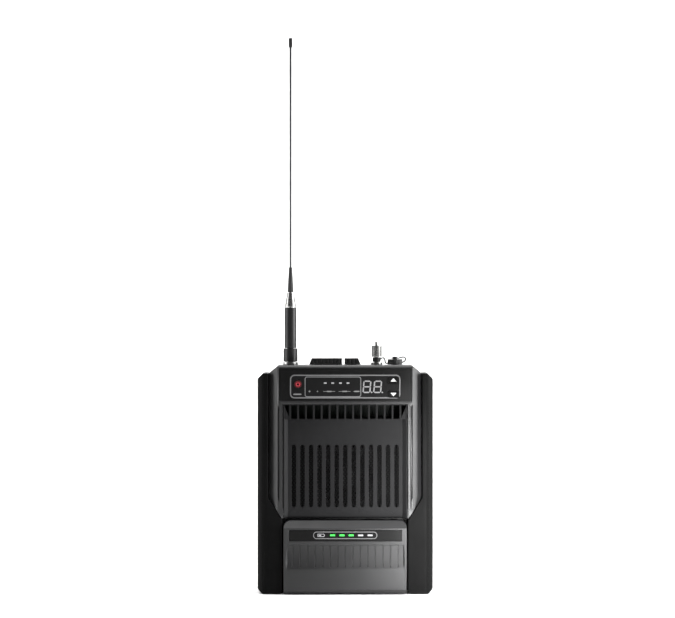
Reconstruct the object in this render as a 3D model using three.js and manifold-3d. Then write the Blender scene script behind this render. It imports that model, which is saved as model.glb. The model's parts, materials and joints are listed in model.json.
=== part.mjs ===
// A portable two-way radio repeater: a finned case with rubber side guards, a clip-on battery pack, a whip
// antenna on a screw connector, a second radio socket with its tethered cap, and two hinged port covers.
// Millimetres. +X is to the right of a person facing the control panel, -Y is the front and +Z is up.
// The origin is on the ground, below the middle of the case.
import * as THREE from "three";
import { mergeVertices } from "three/addons/utils/BufferGeometryUtils.js";
import Module from "manifold-3d";

const wasm = await Module();
wasm.setup();

// ---------------------------------------------------------------- driving dimensions
const GAP = 0.3; // air between neighbouring pieces
const WALL = 2.5; // wall of the two housings
const PAST = 1; // how far a cutter reaches past what it cuts
const GUARD = { half: 88, top: 221, bevel: 5.5, front: -26, back: 29, corner: 9, sole: 1.6 };
const CORE = { half: 76.7, top: 229, bottom: 2, shoulderX: 67, shoulderZ: 221 };
const HIP = { half: 62.3, low: 74, high: 97 }; // where the front housing narrows to the battery bay
const FRONT = -27; // face of the front housing
const FACET = { half: 67.6, back: -20.8 }; // the bevelled sides of the front housing
const SPLIT = -4; // back edge of the front housing
const REAR = { front: -2.5, back: 27, fins: 33 };
const BAY = { top: 76, plate: -7, lip: -24 }; // space that the battery fills
const DISH = { half: 61.7, floorHalf: 57.5, floor: -23.5, back: -21.9, rim: -26.8, bottom: 76.4 };
const VENT = { low: 175.5, high: 189.7, pitch: 7.88, ribs: 15, rib: 1.8 };
const SLOT = { low: 87, high: 149.6, width: 4.4, pitch: 8.57, count: 13 };
const FASCIA = { half: 66.3, low: 193.4, high: 225.8, front: -26.7, back: -25.6 };
const LENS = { half: 55.3, low: 195.9, high: 219.7, corner: 4.7, front: -26.9, back: -25.6 };
const POWER = { x: -47.2, z: 210.2, radius: 3.9 };
const ARROW = { x: 48.3, width: 11.4, height: 6.7, corner: 1.5, up: 214.4, down: 200 };
const LIGHTS = { z: 211.3, x: [-20, -12.5, -4.7, 2.8] };
const CONTROL_BOARD = -18.7; // front face of the board behind the control panel
const FAN = { z: 116, half: 30, bore: 28, front: -19.5, back: -5, hub: 11, blade: 27, blades: 7 };
const MAIN_BOARD = { front: 8, back: 9.6 };
const PACK = { half: 61.5, low: 1.2, high: 74, front: -33, back: -9.1, corner: 7, wall: 2.2 };
const GAUGE = { half: 56.1, low: 53.8, high: 64.6 };
const GRIP = {
  half: 58.6, low: 24.4, ramp: 30.6, high: 49.6, depth: -31.2,
  pitch: 7.5, count: 15, width: 1.2,
};
const CELL = { radius: 9.2, length: 65, pitch: 18.9, y: -18.4, low: 3.8, count: 6 };
const BLADE = { count: 4, pitch: 3 }; // battery contacts, between the two middle cells
const TOP_PANEL = { half: 64.7, front: 0.3, back: 24.3, thick: 1.7 };
const SOCKET_Y = 10; // depth at which the connectors stand in the top panel
const ANTENNA = { x: -55.3, top: 560 };
const RF_JACK_X = 31.9;
const CAP_X = 50.5;
const COVER = { front: 1.5, back: 20, low: 229.4, high: 235.6, wall: 1.6, hingeY: 22.5, hingeZ: 231.5 };
const SCREW = { shaft: 1.4, head: 2.9, places: [[66, 212], [66, 104], [50, 12]] };
const PAD = { x: 67, z: [40, 180], half: 6.5 }; // rear mounting pads, on both sides

// ---------------------------------------------------------------- materials
const standard = (color, roughness, metalness) =>
  new THREE.MeshStandardMaterial({ color, roughness, metalness });
const material = {
  housing: standard(0x3a3a3c, 0.5, 0.1),
  cast: standard(0x2c2c2e, 0.55, 0.7),
  rubber: standard(0x1b1b1c, 0.75, 0),
  grille: standard(0x343436, 0.5, 0.1),
  fascia: standard(0x202022, 0.35, 0),
  lens: standard(0x141416, 0.12, 0),
  button: standard(0x161617, 0.5, 0),
  powerButton: standard(0xb03038, 0.4, 0),
  light: standard(0xd8d8d8, 0.4, 0),
  board: standard(0x1d5a38, 0.6, 0),
  steel: standard(0xb8babd, 0.35, 1),
  nickel: standard(0xc9cacc, 0.22, 1),
  insulator: standard(0xe8e8e6, 0.5, 0),
  blackPlastic: standard(0x1a1a1b, 0.45, 0),
  cell: standard(0x2c6a9a, 0.45, 0),
};

// ---------------------------------------------------------------- solids from three.js geometry
/** A closed geometry as a solid with its faces outwards. Triangles that have no area are dropped. */
function solid(geometry) {
  const bare = new THREE.BufferGeometry().setAttribute("position", geometry.getAttribute("position"));
  if (geometry.index) bare.setIndex(geometry.index);
  const merged = mergeVertices(bare, 1e-4);
  const index = merged.index.array;
  const forward = [];
  const backward = [];
  for (let i = 0; i < index.length; i += 3) {
    const [a, b, c] = [index[i], index[i + 1], index[i + 2]];
    if (a === b || b === c || c === a) continue;
    forward.push(a, b, c);
    backward.push(a, c, b);
  }
  const vertProperties = merged.attributes.position.array;
  const make = (corners) =>
    new wasm.Manifold(new wasm.Mesh({ numProp: 3, vertProperties, triVerts: new Uint32Array(corners) }));
  const made = make(forward);
  return made.volume() > 0 ? made : make(backward);
}

/** The solid's surface as three.js geometry. */
function geometryOf(shape) {
  const mesh = shape.getMesh();
  const geometry = new THREE.BufferGeometry();
  geometry.setAttribute("position", new THREE.BufferAttribute(new Float32Array(mesh.vertProperties), 3));
  geometry.setIndex(new THREE.BufferAttribute(new Uint32Array(mesh.triVerts), 1));
  geometry.computeVertexNormals();
  return geometry;
}

const join = (...shapes) => shapes.reduce((all, shape) => all.add(shape));
const cut = (shape, ...cutters) => cutters.reduce((left, cutter) => left.subtract(cutter), shape);

const polygon = (points) => new THREE.Shape(points.map(([a, b]) => new THREE.Vector2(a, b)));

/** An outline given by its right half, from its bottom to its top, and mirrored to the left. */
const symmetric = (points) => polygon([...points, ...points.map(([a, b]) => [-a, b]).reverse()]);

/** A rectangle with round corners. */
function rounded(left, right, low, high, radius) {
  const shape = new THREE.Shape();
  shape.absarc(right - radius, low + radius, radius, -Math.PI / 2, 0);
  shape.absarc(right - radius, high - radius, radius, 0, Math.PI / 2);
  shape.absarc(left + radius, high - radius, radius, Math.PI / 2, Math.PI);
  shape.absarc(left + radius, low + radius, radius, Math.PI, 1.5 * Math.PI);
  return shape;
}

const extrude = (outline, length, curveSegments) =>
  new THREE.ExtrudeGeometry(outline, { depth: length, bevelEnabled: false, curveSegments });

/** An (x, y) outline between two heights. */
const alongZ = (outline, low, high, curveSegments = 5) =>
  solid(extrude(outline, high - low, curveSegments).translate(0, 0, low));

/** An (x, z) outline, as seen from the front, between two depths. */
const alongY = (outline, front, back, curveSegments = 4) =>
  solid(extrude(outline, back - front, curveSegments).rotateX(Math.PI / 2).translate(0, back, 0));

/** A (y, z) outline, as seen from the right, between two widths. */
function alongX(outline, left, right, curveSegments = 4) {
  const turn = new THREE.Matrix4().makeBasis(
    new THREE.Vector3(0, 1, 0),
    new THREE.Vector3(0, 0, 1),
    new THREE.Vector3(1, 0, 0),
  );
  return solid(extrude(outline, right - left, curveSegments).applyMatrix4(turn).translate(left, 0, 0));
}

const box = (left, right, front, back, low, high) =>
  solid(
    new THREE.BoxGeometry(right - left, back - front, high - low).translate(
      (left + right) / 2,
      (front + back) / 2,
      (low + high) / 2,
    ),
  );

/** A round bar along Y at (x, z). */
const barY = (radius, front, back, x, z, sides = 16) =>
  solid(new THREE.CylinderGeometry(radius, radius, back - front, sides).translate(x, (front + back) / 2, z));

/** A round bar along X at (y, z). */
const barX = (radius, left, right, y, z, sides = 12) =>
  solid(
    new THREE.CylinderGeometry(radius, radius, right - left, sides)
      .rotateZ(Math.PI / 2)
      .translate((left + right) / 2, y, z),
  );

/** A round bar along Z at (x, y). */
const barZ = (radius, low, high, x, y, sides = 16) =>
  solid(
    new THREE.CylinderGeometry(radius, radius, high - low, sides)
      .rotateX(Math.PI / 2)
      .translate(x, y, (low + high) / 2),
  );

/** A profile of [radius, height] points turned about Z. A profile off the axis closes on its first point. */
function turned(profile, sides = 24) {
  const closed = profile[0][0] > 0 ? [...profile, profile[0]] : profile;
  const points = closed.map(([radius, height]) => new THREE.Vector2(radius, height));
  return solid(new THREE.LatheGeometry(points, sides).rotateX(Math.PI / 2));
}

/** Values in even steps about zero. */
const centred = (count, pitch) => Array.from({ length: count }, (_, i) => (i - (count - 1) / 2) * pitch);

function add(parent, name, shape, look, x = 0, y = 0, z = 0) {
  const mesh = new THREE.Mesh(geometryOf(shape), look);
  mesh.name = name;
  mesh.position.set(x, y, z);
  parent.add(mesh);
}

// ---------------------------------------------------------------- housings
/** The front housing's outline seen from the front, moved in by a distance. */
const housingOutline = (inset) =>
  symmetric([
    [HIP.half - inset, CORE.bottom + inset],
    [HIP.half - inset, HIP.low + inset * 0.6],
    [CORE.half - inset, HIP.high + inset * 0.6],
    [CORE.half - inset, CORE.shoulderZ - inset * 0.4],
    [CORE.shoulderX - inset * 0.4, CORE.top - inset],
  ]);

/** The front housing's outline seen from above, with its bevelled sides. */
const housingPlan = (inset) =>
  symmetric([
    [FACET.half - inset * 0.4, FRONT + inset],
    [CORE.half - inset, FACET.back + inset * 0.6],
    [CORE.half - inset, SPLIT + PAST],
  ]);

const screwPlaces = SCREW.places.flatMap(([x, z]) => [[-x, z], [x, z]]);

function frontHousing() {
  const shell = (inset, back) =>
    alongY(housingOutline(inset), FRONT + inset, back).intersect(
      alongZ(housingPlan(inset), 0, CORE.top + PAST),
    );
  const upper = box(-CORE.half, CORE.half, FRONT, 0, BAY.top + 3, CORE.top);
  const cavity = shell(WALL, SPLIT + PAST).intersect(upper);
  const bay = box(-HIP.half - PAST, HIP.half + PAST, FRONT - PAST, BAY.plate, 0, BAY.top);
  const dishOpening = join(
    box(-62, 62, FRONT - PAST, BAY.lip, BAY.top - PAST, 190),
    box(-62, 62, FRONT - PAST, DISH.back + GAP, BAY.top - PAST, BAY.top + 3.6),
  );
  const fasciaPocket = box(
    -FASCIA.half - GAP, FASCIA.half + GAP,
    FRONT - PAST, FASCIA.back + GAP,
    FASCIA.low - GAP, FASCIA.high + GAP,
  );
  const window = alongY(rounded(-54.8, 54.8, 196.4, 219, 3), FRONT - PAST, FRONT + 2 * WALL);
  const bevelled = polygon([[FRONT - 0.1, 226.9], [FRONT + 2.2, 229.1], [FRONT - 0.1, 229.1]]);
  const topBevel = alongX(bevelled, -80, 80);
  const terminalHole = box(-14.4, 14.4, BAY.plate - PAST, SPLIT + PAST, 28, 40);
  const latchNotch = box(-12, 12, BAY.plate - PAST, SPLIT + PAST, 0, 3);
  const grooveFloor = FRONT + 1.9;
  const grooves = [-1, 1].flatMap((side) => {
    const outer = [[65.7, 187.5], [65.7, 91], [67.5, 97], [67.5, 189.5]].map(([x, z]) => [side * x, z]);
    const inner = [[61.9, 190], [61.9, 85], [62.9, 86], [62.9, 190]].map(([x, z]) => [side * x, z]);
    return [outer, inner].map((points) => {
      const ordered = side > 0 ? points : points.reverse();
      return alongY(polygon(ordered), FRONT - PAST, grooveFloor);
    });
  });
  const housing = cut(
    shell(0, SPLIT), cavity, bay, dishOpening, fasciaPocket, window, topBevel,
    terminalHole, latchNotch, ...grooves,
  );
  const bosses = screwPlaces
    .filter(([, z]) => z > BAY.top)
    .map(([x, z]) => barY(3.6, FRONT + WALL - 0.3, SPLIT, x, z, 12));
  const holes = screwPlaces.map(([x, z]) =>
    barY(SCREW.shaft + GAP, z > BAY.top ? -16 : -6.6, SPLIT + PAST, x, z, 10),
  );
  return cut(join(housing, ...bosses), ...holes);
}

function rearChassis() {
  const outline = symmetric([
    [CORE.half - 4, CORE.bottom],
    [CORE.half, CORE.bottom + 4],
    [CORE.half, CORE.shoulderZ],
    [CORE.shoulderX, CORE.top],
  ]);
  const hollow = symmetric([[73.7, 5], [73.7, 219.5], [65.5, 226]]);
  const block = cut(
    alongY(outline, REAR.front, REAR.back),
    alongY(hollow, 0.5, REAR.back - 3.5),
    alongY(housingOutline(3.5), REAR.front - PAST, 0.6),
    box(-65, 65, 0, 24.6, CORE.top - TOP_PANEL.thick - GAP, CORE.top + PAST),
    box(-62, 62, 2, 20, 225, CORE.top),
  );
  const fins = centred(15, 8.2).map((x) => box(x - 1.2, x + 1.2, REAR.back - 0.5, REAR.fins, 18, 212));
  const pads = [-PAD.x, PAD.x].flatMap((x) =>
    PAD.z.map((z) =>
      box(x - PAD.half, x + PAD.half, REAR.back - 0.5, REAR.fins, z - PAD.half, z + PAD.half).subtract(
        barY(2.1, REAR.back - 0.2, REAR.fins + PAST, x, z, 12),
      ),
    ),
  );
  const posts = [-50, 50].flatMap((x) =>
    [30, 182].map((z) => barY(3.5, MAIN_BOARD.back + GAP, REAR.back - 3, x, z, 10)),
  );
  const holes = screwPlaces.flatMap(([x, z]) => [
    barY(SCREW.shaft + GAP, REAR.front - PAST, REAR.back + PAST, x, z, 10),
    barY(SCREW.head + GAP, REAR.back - 2.1, REAR.back + PAST, x, z, 16),
  ]);
  return cut(join(block, ...fins, ...pads, ...posts), ...holes);
}

const caseGasket = () =>
  cut(
    alongY(housingOutline(0.5), SPLIT + GAP, REAR.front - GAP),
    alongY(housingOutline(2.4), SPLIT, REAR.front),
  );

/** The right-hand rubber guard: a rounded rail, a wide foot beside the battery and a sole under the case. */
function sideGuard() {
  const { half, top, bevel, front, back, corner, sole } = GUARD;
  const plan = new THREE.Shape();
  plan.moveTo(60, front);
  plan.absarc(half - corner, front + corner, corner, -Math.PI / 2, 0);
  plan.absarc(half - corner, back - corner, corner, 0, Math.PI / 2);
  plan.lineTo(60, back);
  const outline = polygon([
    [67, 0], [83, 0], [half, 5], [half, top - bevel], [half - bevel, top],
    [60, top], [60, sole], [HIP.half, sole],
  ]);
  const frontGap = 0.4;
  const frontCore = polygon([
    [0, -PAST], [HIP.half + frontGap, -PAST], [HIP.half + frontGap, HIP.low - 0.1],
    [CORE.half + frontGap, HIP.high - 0.1], [CORE.half + frontGap, CORE.top], [0, CORE.top],
  ]);
  return cut(
    alongZ(plan, 0, top).intersect(alongY(outline, front - PAST, back + PAST)),
    alongY(frontCore, front - PAST, SPLIT + 1.1),
    box(0, CORE.half + frontGap, SPLIT + 1, back + PAST, sole, CORE.top),
  );
}

/** The panel in the front housing: a shallow dish with thirteen air slots, below a row of upright ribs. */
function ventGrille() {
  const { half, floorHalf, floor, back, rim, bottom } = DISH;
  const plan = symmetric([[floorHalf, floor], [half - 0.8, rim], [half, rim], [half, back]]);
  const dish = alongZ(plan, bottom, VENT.low);
  const reach = SLOT.width / 2;
  const slots = centred(SLOT.count, SLOT.pitch).map((x) =>
    alongY(rounded(x - reach, x + reach, SLOT.low, SLOT.high, reach - 0.01), floor - 1, back + 1, 3),
  );
  const ribs = centred(VENT.ribs, VENT.pitch).map((x) =>
    box(x - VENT.rib / 2, x + VENT.rib / 2, rim + 0.4, back, VENT.low - 0.5, VENT.high),
  );
  const rail = box(-63, 63, -24.2, back, VENT.high - 0.7, VENT.high + 3.5);
  const sides = [-1, 1].flatMap((side) => {
    const corners = [[55.3, VENT.low - 0.2], [half, VENT.low - 0.2], [half, VENT.high]];
    const gusset = corners.map(([x, z]) => [side * x, z]);
    const edge = [side * half, side * (half - 0.8)].sort((a, b) => a - b);
    return [
      alongY(polygon(side > 0 ? gusset : gusset.reverse()), rim + 0.4, back),
      box(edge[0], edge[1], rim, back, VENT.low - 0.5, VENT.high),
    ];
  });
  return cut(join(dish, rail, ...ribs, ...sides), ...slots);
}

// ---------------------------------------------------------------- control panel
function controlFascia() {
  const plate = rounded(-FASCIA.half, FASCIA.half, FASCIA.low, FASCIA.high, 0.8);
  const [reach, low, high] = [LENS.half + GAP, LENS.low - GAP, LENS.high + GAP];
  plate.holes.push(rounded(-reach, reach, low, high, LENS.corner + GAP));
  return alongY(plate, FASCIA.front, FASCIA.back);
}

/** The outline of an arrow button, grown by a margin, about its own centre. */
const arrowOutline = (margin) =>
  rounded(
    -ARROW.width / 2 - margin, ARROW.width / 2 + margin,
    -ARROW.height / 2 - margin, ARROW.height / 2 + margin,
    ARROW.corner + margin,
  );

function displayWindow() {
  const lens = alongY(
    rounded(-LENS.half, LENS.half, LENS.low, LENS.high, LENS.corner), LENS.front, LENS.back,
  );
  const arrowHoles = [ARROW.up, ARROW.down].map((z) =>
    alongY(arrowOutline(GAP), LENS.front - PAST, LENS.back + PAST).translate([ARROW.x, 0, z]),
  );
  const powerHole = barY(POWER.radius + GAP, LENS.front - PAST, LENS.back + PAST, POWER.x, POWER.z, 24);
  return cut(lens, powerHole, ...arrowHoles);
}

/** A button about its own centre: a cap that stands out of the lens and a flange that keeps it in. */
const arrowButton = () => join(alongY(arrowOutline(0), -27.5, -24), alongY(arrowOutline(0.6), -24.2, -23.2));
const powerButton = () =>
  join(barY(POWER.radius, -27.5, -24, 0, 0, 24), barY(POWER.radius + 1, -24.2, -23.2, 0, 0, 24));

// ---------------------------------------------------------------- fan
function fanFrame() {
  const { z, half, bore, front, back } = FAN;
  const frame = cut(
    box(-half, half, front, back, z - half, z + half),
    barY(bore, front - PAST, back + PAST, 0, z, 32),
  );
  const struts = [45, -45].map((degrees) => {
    const bar = new THREE.BoxGeometry(2 * bore + 2, 2, 3).rotateY(THREE.MathUtils.degToRad(degrees));
    return solid(bar.translate(0, back - 1, z));
  });
  const seat = barY(9, back - 2, back, 0, z, 20);
  return cut(join(frame, ...struts, seat), barY(1.3, back - 3, back + PAST, 0, z, 10));
}

/** Hub, blades and shaft, about the shaft's own line. */
function fanRotor() {
  const { hub, blade, blades, front, back } = FAN;
  const span = blade - hub + 1;
  const middle = (front + 1 + back - 4.5) / 2;
  const made = [barY(hub, front + 1, back - 4.5, 0, 0, 20), barY(1, back - 4.8, back - 0.6, 0, 0, 8)];
  for (let i = 0; i < blades; i += 1) {
    const vane = new THREE.BoxGeometry(span, 1.4, 10)
      .rotateX(Math.PI / 4)
      .translate(hub - 1 + span / 2, middle, 0)
      .rotateY((i * 2 * Math.PI) / blades);
    made.push(solid(vane));
  }
  return join(...made);
}

// ---------------------------------------------------------------- top panel and its connectors
const COVERS = {
  wide: {
    left: -36.3, leftTop: -33.8, right: -3.1, rightTop: -3.1,
    ears: [-34, -8], socket: [-31, -7], mouth: [-28, -10],
  },
  narrow: {
    left: -0.6, leftTop: -0.6, right: 15.7, rightTop: 13.2,
    ears: [1.5, 9.7], socket: [2, 11.3], mouth: [3.6, 9.8],
  },
};
const EAR = { width: 1.8, front: 21, back: 24, top: 233.3, bore: 1.1, pin: 0.8 };

function topPanel() {
  const low = CORE.top - TOP_PANEL.thick;
  const plate = box(-TOP_PANEL.half, TOP_PANEL.half, TOP_PANEL.front, TOP_PANEL.back, low, CORE.top);
  const ears = Object.values(COVERS).flatMap(({ ears: places }) =>
    places.map((x) =>
      box(x, x + EAR.width, EAR.front, EAR.back, CORE.top - 0.5, EAR.top).subtract(
        barX(EAR.bore, x - PAST, x + EAR.width + PAST, COVER.hingeY, COVER.hingeZ, 10),
      ),
    ),
  );
  const parkingStud = barZ(3.9, CORE.top - 0.5, 232.8, CAP_X, SOCKET_Y, 20);
  const holes = [
    barZ(5, low - PAST, CORE.top + PAST, ANTENNA.x, SOCKET_Y, 20),
    barZ(3, low - PAST, CORE.top + PAST, RF_JACK_X, SOCKET_Y, 16),
    ...Object.values(COVERS).map(({ socket }) =>
      box(socket[0] - GAP, socket[1] + GAP, 5 - GAP, 15 + GAP, low - PAST, CORE.top + PAST),
    ),
  ];
  return cut(join(plate, ...ears, parkingStud), ...holes);
}

/** A socket that stands up through the top panel, with a flange below it and its mouth at the top. */
const portSocket = ({ socket, mouth }) =>
  cut(
    join(
      box(socket[0], socket[1], 5, 15, 220, 233.2),
      box(socket[0] - 1.2, socket[1] + 1.2, 3.8, 16.2, 223.5, 227),
    ),
    box(mouth[0], mouth[1], 7, 13, 225, 234),
  );

/** A ribbed lid over a socket, hollow below, with a knuckle at the back for its pin. */
function portCover({ left, leftTop, right, rightTop, ears }) {
  const { front, back, low, high, wall, hingeY, hingeZ } = COVER;
  const outline = (inset, bottom) =>
    polygon([
      [left + 1.5 * inset, bottom], [right - 1.5 * inset, bottom],
      [rightTop - inset, high - inset], [leftTop + inset, high - inset],
    ]);
  const lid = alongY(outline(0, low), front, back);
  const hollow = alongY(outline(wall, low - PAST), front + wall, back - wall);
  const [from, to] = [ears[0] + EAR.width + GAP, ears[1] - GAP];
  const knuckle = join(
    barX(1.9, from, to, hingeY, hingeZ, 14),
    box(from, to, back - 0.5, hingeY - 1.2, hingeZ - 1.2, hingeZ + 1.3),
  );
  const grooves = [];
  for (let x = leftTop + 2.5; x < rightTop - 1.2; x += 3.7)
    grooves.push(box(x, x + 1.3, front - PAST, front + 0.7, low + 1, high + PAST));
  const bore = barX(EAR.bore, from - PAST, to + PAST, hingeY, hingeZ, 10);
  return cut(join(lid.subtract(hollow), knuckle), bore, ...grooves);
}

const coverPin = ({ ears }) =>
  barX(EAR.pin, ears[0] - 0.5, ears[1] + EAR.width + 0.5, COVER.hingeY, COVER.hingeZ, 10);

/** Screw socket under the antenna, about its own axis. */
const antennaJack = () =>
  turned([
    [0, 220], [4.6, 220], [4.6, 229.3], [7.6, 229.3], [7.6, 231.6], [5.4, 231.6], [5.4, 240], [0, 240],
  ]);

/** The second radio socket, about its own axis. */
const rfJack = () =>
  turned([
    [0, 221], [2.6, 221], [2.6, 229.3], [5.8, 229.3], [5.8, 231.3], [2.9, 231.3], [2.9, 237],
    [5.6, 237], [5.6, 248.2], [4.1, 248.2], [4.1, 239.5], [0, 239.5],
  ]);
const rfJackInsulator = () =>
  turned([[0, 239.8], [3.7, 239.8], [3.7, 246], [1.9, 246], [1.9, 252.4], [0, 252.4]], 16);

const dustCap = () =>
  turned([
    [0, 233.2], [5.9, 233.2], [5.9, 229.4], [7.5, 229.4], [7.5, 234.6], [2.1, 234.6],
    [2.1, 236.4], [3, 236.4], [3, 237.2], [0, 237.2],
  ]);

/** A rubber strap from a ring round the radio socket's neck to an eyelet on the dust cap. */
function capStrap() {
  const route = [
    [35.6, 10, 234.6], [38.3, 10.2, 236.2], [40.3, 10.8, 234.2], [40.7, 13.4, 231], [44.2, 18.2, 230.3],
    [52, 19.4, 230.3], [59, 17.4, 231.6], [61.5, 13, 234.6], [59.6, 10.4, 236.8], [56.4, 10, 236.3],
    [53.6, 10, 235.5],
  ].map(([x, y, z]) => new THREE.Vector3(x, y, z));
  const section = new THREE.Shape().absarc(0, 0, 0.7, 0, 2 * Math.PI);
  const band = new THREE.ExtrudeGeometry(section, {
    steps: 26,
    curveSegments: 4,
    extrudePath: new THREE.CatmullRomCurve3(route),
  });
  const loop = turned([[3.2, 232], [4.1, 232], [4.1, 236.4], [3.2, 236.4]], 20);
  const ring = loop.translate([RF_JACK_X, SOCKET_Y, 0]);
  const eyelet = turned([[2.5, 235], [3.7, 235], [3.7, 236], [2.5, 236]], 20).translate([CAP_X, SOCKET_Y, 0]);
  return join(solid(band), ring, eyelet);
}

// ---------------------------------------------------------------- antenna, about its own axis
const antennaNut = () =>
  turned([[5.8, 232.2], [7.15, 232.2], [7.15, 245.5], [3.5, 245.5], [3.5, 241.8], [5.8, 241.8]]);
const antennaSleeve = () =>
  turned([[0, 240.4], [3.2, 240.4], [3.2, 245.8], [6, 245.8], [6, 287], [1.4, 287], [1.4, 280], [0, 280]]);
const antennaFerrule = () => turned([[1.4, 287.3], [5.6, 287.3], [5.6, 288.6], [3.4, 302], [1.4, 302]]);
const antennaBoot = () =>
  turned([[1.4, 302.3], [3.1, 302.3], [3, 305], [2, 322], [1.7, 327.5], [1.4, 327.5]], 20);
const antennaWhip = () => barZ(1.1, 280.3, ANTENNA.top - 5.4, 0, 0, 12);
const antennaTip = () =>
  turned([[0, -5.1], [1.4, -5.1], [1.4, -9.4], [1.9, -9.4], [1.9, -0.8], [1.2, 0], [0, 0]], 16);

// ---------------------------------------------------------------- battery pack
function batteryShell() {
  const { half, low, high, front, back, corner, wall } = PACK;
  const side = polygon([
    [front + 3, low], [back, low], [back, high], [-24.5, high],
    [front + 1, high - 7.7], [front + 1, GRIP.ramp],
    [front, GRIP.low], [front, low + 3.8],
  ]);
  const faceOutline = new THREE.Shape();
  faceOutline.moveTo(-half, low);
  faceOutline.lineTo(half, low);
  faceOutline.absarc(half - corner, high - corner, corner, 0, Math.PI / 2);
  faceOutline.absarc(corner - half, high - corner, corner, Math.PI / 2, Math.PI);
  const block = alongX(side, -half, half).intersect(alongY(faceOutline, front - PAST, back + PAST));
  const hollowSide = polygon([
    [-29.6, low + 2.4], [back + PAST, low + 2.4], [back + PAST, high - 2.5],
    [-25.2, high - 2.5], [-29.6, high - 7],
  ]);
  const hollow = alongX(hollowSide, -half + wall, half - wall);
  const pocket = box(-GAUGE.half - GAP, GAUGE.half + GAP, front, -30.9, GAUGE.low - GAP, GAUGE.high + GAP);
  const gripRecess = alongX(
    polygon([
      [front - PAST, GRIP.low], [front, GRIP.low], [GRIP.depth, GRIP.ramp],
      [GRIP.depth, GRIP.high], [front - PAST, GRIP.high],
    ]),
    -GRIP.half,
    GRIP.half,
  );
  const gripSlots = centred(GRIP.count, GRIP.pitch).map((x) =>
    box(x - GRIP.width / 2, x + GRIP.width / 2, front - PAST, GRIP.depth + 0.6, GRIP.low + 3, GRIP.high),
  );
  const latchPocket = box(-12, 12, -26, back + PAST, low - PAST, low + 1.4);
  return cut(block, hollow, pocket, gripRecess, ...gripSlots, latchPocket);
}

function batteryBack() {
  const plate = alongY(
    rounded(-PACK.half + 0.3, PACK.half - 0.3, 1.5, PACK.high - 0.3, 0.5),
    PACK.back + GAP,
    BAY.plate - GAP,
    2,
  );
  const bladeSlots = centred(BLADE.count, BLADE.pitch).map((x) => box(x - 0.9, x + 0.9, -10, -6, 30.5, 37.5));
  return cut(plate, box(-12, 12, -10, -6, 0, 2.8), ...bladeSlots);
}

const batteryTerminal = () =>
  join(
    box(-14, 14, BAY.plate + 0.2, 1, 28.3, 39.7),
    ...centred(BLADE.count, BLADE.pitch).map((x) => box(x - 0.5, x + 0.5, -9.6, BAY.plate + 0.5, 31, 37)),
  );

const batteryLatch = () =>
  join(box(-11.6, 11.6, -22, -12.8, 1.3, 2.3), box(-6, 6, -13, -5, 1.3, 2.3));

// ---------------------------------------------------------------- fasteners and boards
const caseScrew = (tip) =>
  cut(
    join(barY(SCREW.shaft, tip, 25.4, 0, 0, 10), barY(SCREW.head, 25.2, 26.8, 0, 0, 16)),
    barY(1.3, 25.9, 27, 0, 0, 6),
  );

// ---------------------------------------------------------------- assembly
const repeater = new THREE.Group();

function addCase() {
  add(repeater, "front_housing", frontHousing(), material.housing);
  add(repeater, "rear_chassis", rearChassis(), material.cast);
  add(repeater, "case_gasket", caseGasket(), material.rubber);
  add(repeater, "right_side_guard", sideGuard(), material.rubber);
  add(repeater, "left_side_guard", sideGuard(), material.rubber);
  repeater.children.at(-1).scale.x = -1;
  add(repeater, "vent_grille", ventGrille(), material.grille);
  screwPlaces.forEach(([x, z], i) => {
    add(repeater, `case_screw_${i + 1}`, caseScrew(z > BAY.top ? -15 : -6.2), material.steel, x, 0, z);
  });
}

function addControls() {
  add(repeater, "control_fascia", controlFascia(), material.fascia);
  add(repeater, "display_window", displayWindow(), material.lens);
  add(repeater, "power_button", powerButton(), material.powerButton, POWER.x, 0, POWER.z);
  add(repeater, "channel_up_button", arrowButton(), material.button, ARROW.x, 0, ARROW.up);
  add(repeater, "channel_down_button", arrowButton(), material.button, ARROW.x, 0, ARROW.down);
  LIGHTS.x.forEach((x, i) => {
    const pipe = box(-1.3, 1.3, LENS.back + GAP, CONTROL_BOARD - GAP, -0.7, 0.7);
    add(repeater, `status_light_${i + 1}`, pipe, material.light, x, 0, LIGHTS.z);
  });
  const display = box(15.8, 39.6, LENS.back + GAP, CONTROL_BOARD - GAP, 199.4, 216.2);
  add(repeater, "digit_display", display, material.blackPlastic);
  add(repeater, "power_switch", box(-50.2, -44.2, -21.7, CONTROL_BOARD - GAP, 207.2, 213.2), material.steel);
  add(repeater, "button_mat", box(41.8, 54.8, -21.7, CONTROL_BOARD - GAP, 195.9, 218.8), material.rubber);
  add(repeater, "control_board", box(-58, 58, CONTROL_BOARD, CONTROL_BOARD + 1.6, 194, 222), material.board);
}

function addInsides() {
  add(repeater, "fan_frame", fanFrame(), material.blackPlastic);
  add(repeater, "fan_rotor", fanRotor(), material.blackPlastic, 0, 0, FAN.z);
  add(repeater, "main_board", box(-58, 58, MAIN_BOARD.front, MAIN_BOARD.back, 20, 190), material.board);
  add(repeater, "amplifier_shield", box(5, 50, 0.5, MAIN_BOARD.front - GAP, 112, 172), material.steel);
  add(repeater, "duplex_filter", box(-55, 55, 1.5, MAIN_BOARD.front - GAP, 24, 62), material.steel);
  add(repeater, "battery_terminal", batteryTerminal(), material.blackPlastic);
}

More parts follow.
